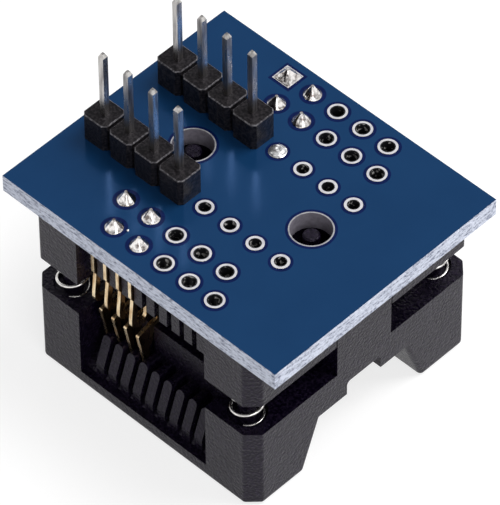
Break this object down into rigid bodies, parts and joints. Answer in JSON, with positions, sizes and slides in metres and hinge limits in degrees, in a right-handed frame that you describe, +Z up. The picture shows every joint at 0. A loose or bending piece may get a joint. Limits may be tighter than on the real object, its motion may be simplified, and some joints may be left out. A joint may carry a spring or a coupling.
{
  "type": "ic programmer adapter socket",
  "caption": "Adapter with a spring-loaded open-top test socket for a small surface-mount chip under a blue board, and two header pin rows that fit a wide chip socket.",
  "frame": {"origin": "under the middle of the board, at the level of the cover's rim that it stands on", "axes": "+X along the pin rows, from the pins' end of the board to the open holes' end; +Z up, from the socket's mouth to the pin tips"},
  "size_m": [0.0276, 0.0235, 0.0262],
  "materials": {
    "board_laminate": "glossy solder mask",
    "tin": "tinned",
    "solder": "shiny solder",
    "pin_metal": "gold plated",
    "contact_metal": "gold plated, stamped",
    "spring_steel": "bright wire",
    "socket_plastic": "moulded, fine satin",
    "header_plastic": "moulded"
  },
  "bodies": {
    "adapter": {"board": "board_laminate", "hole_plating": "tin", "first_contact_pad": "tin", "contact_solder": "solder", "header_solder": "solder", "filled_hole_solder": "solder", "socket_base": "socket_plastic", "header_block_front": "header_plastic", "header_block_rear": "header_plastic", "header_pin_front_1": "pin_metal", "header_pin_front_2": "pin_metal", "header_pin_front_3": "pin_metal", "header_pin_front_4": "pin_metal", "header_pin_rear_1": "pin_metal", "header_pin_rear_2": "pin_metal", "header_pin_rear_3": "pin_metal", "header_pin_rear_4": "pin_metal", "contact_front_1": "contact_metal", "contact_front_2": "contact_metal", "contact_front_3": "contact_metal", "contact_front_4": "contact_metal", "contact_rear_1": "contact_metal", "contact_rear_2": "contact_metal", "contact_rear_3": "contact_metal", "contact_rear_4": "contact_metal", "spring_front_left": "spring_steel", "spring_front_right": "spring_steel", "spring_rear_left": "spring_steel", "spring_rear_right": "spring_steel"},
    "cover": {"socket_cover": "socket_plastic"},
    "front_arms": {"contact_arm_front_1": "contact_metal", "contact_arm_front_2": "contact_metal", "contact_arm_front_3": "contact_metal", "contact_arm_front_4": "contact_metal"},
    "rear_arms": {"contact_arm_rear_1": "contact_metal", "contact_arm_rear_2": "contact_metal", "contact_arm_rear_3": "contact_metal", "contact_arm_rear_4": "contact_metal"}
  },
  "joints": [
    {"name": "cover_slide", "type": "slide", "parent": "adapter", "child": "cover", "axis": [0, 0, 1], "range_m": [0, 0.00225], "stiffness_N_per_m": 600, "springref_m": -0.002, "deforming": ["spring_front_left", "spring_front_right", "spring_rear_left", "spring_rear_right"]},
    {"name": "front_arms_hinge", "type": "hinge", "parent": "adapter", "child": "front_arms", "pos_m": [0.00012, -0.00845, 0.0104], "axis": [1, 0, 0], "range_deg": [-15.6, 0]},
    {"name": "rear_arms_hinge", "type": "hinge", "parent": "adapter", "child": "rear_arms", "pos_m": [0.00012, 0.00845, 0.0104], "axis": [1, 0, 0], "range_deg": [0, 15.6]}
  ],
  "couplings": [
    {"joint": "front_arms_hinge", "follows": "cover_slide", "rad_per_m": -120.2},
    {"joint": "rear_arms_hinge", "follows": "cover_slide", "rad_per_m": 120.2}
  ]
}
